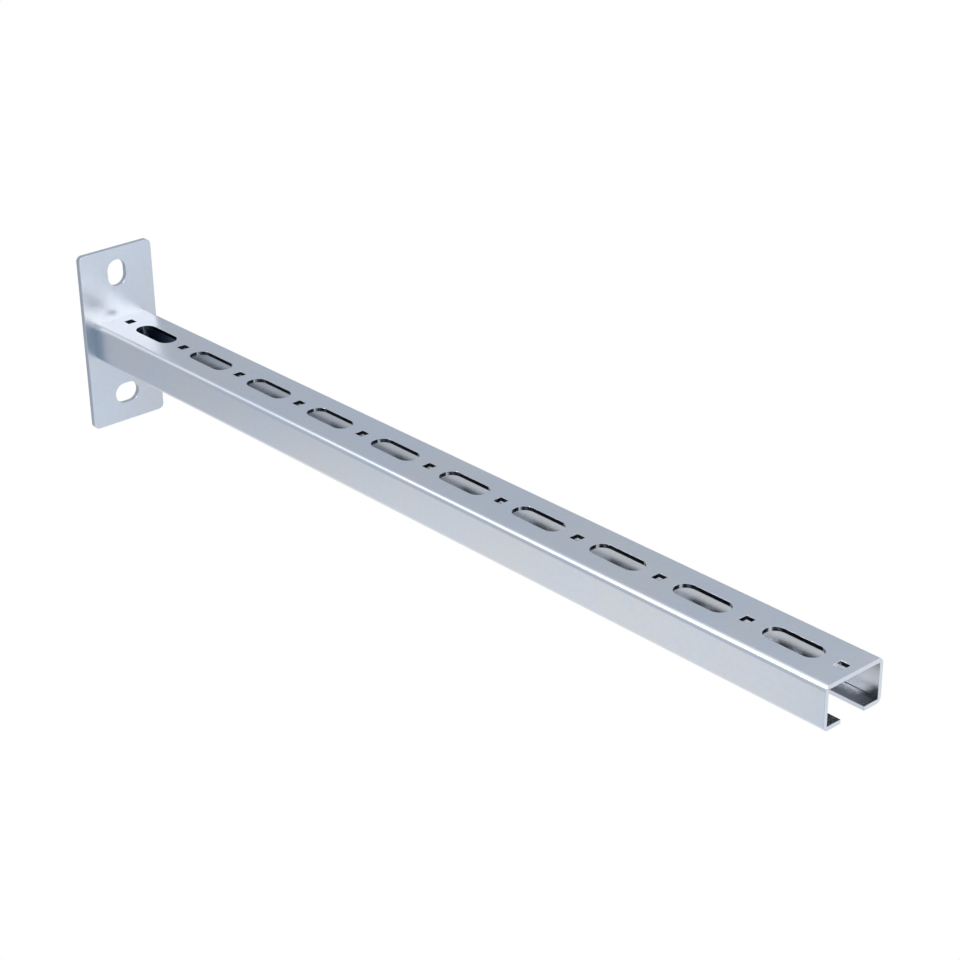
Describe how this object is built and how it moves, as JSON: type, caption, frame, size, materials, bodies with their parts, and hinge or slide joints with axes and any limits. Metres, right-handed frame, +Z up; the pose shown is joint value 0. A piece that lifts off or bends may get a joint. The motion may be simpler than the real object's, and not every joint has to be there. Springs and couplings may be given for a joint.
{
  "type": "cantilever strut arm",
  "caption": "Slotted zinc-plated steel channel, open side down, welded square to a flat wall plate with an upright and a level bolt slot.",
  "frame": {"origin": "centre of the wall plate's back face, on the arm's centre line", "axes": "+X out from the wall along the arm, +Y across its width, +Z up, open side of the channel down"},
  "size_m": [0.519, 0.045, 0.1],
  "materials": {
    "plate_steel": "bright zinc plate",
    "channel_steel": "bright zinc plate",
    "weld_metal": "plated weld bead"
  },
  "bodies": {
    "root": {"wall_plate": "plate_steel", "channel_arm": "channel_steel", "root_weld": "weld_metal"}
  },
  "joints": []
}
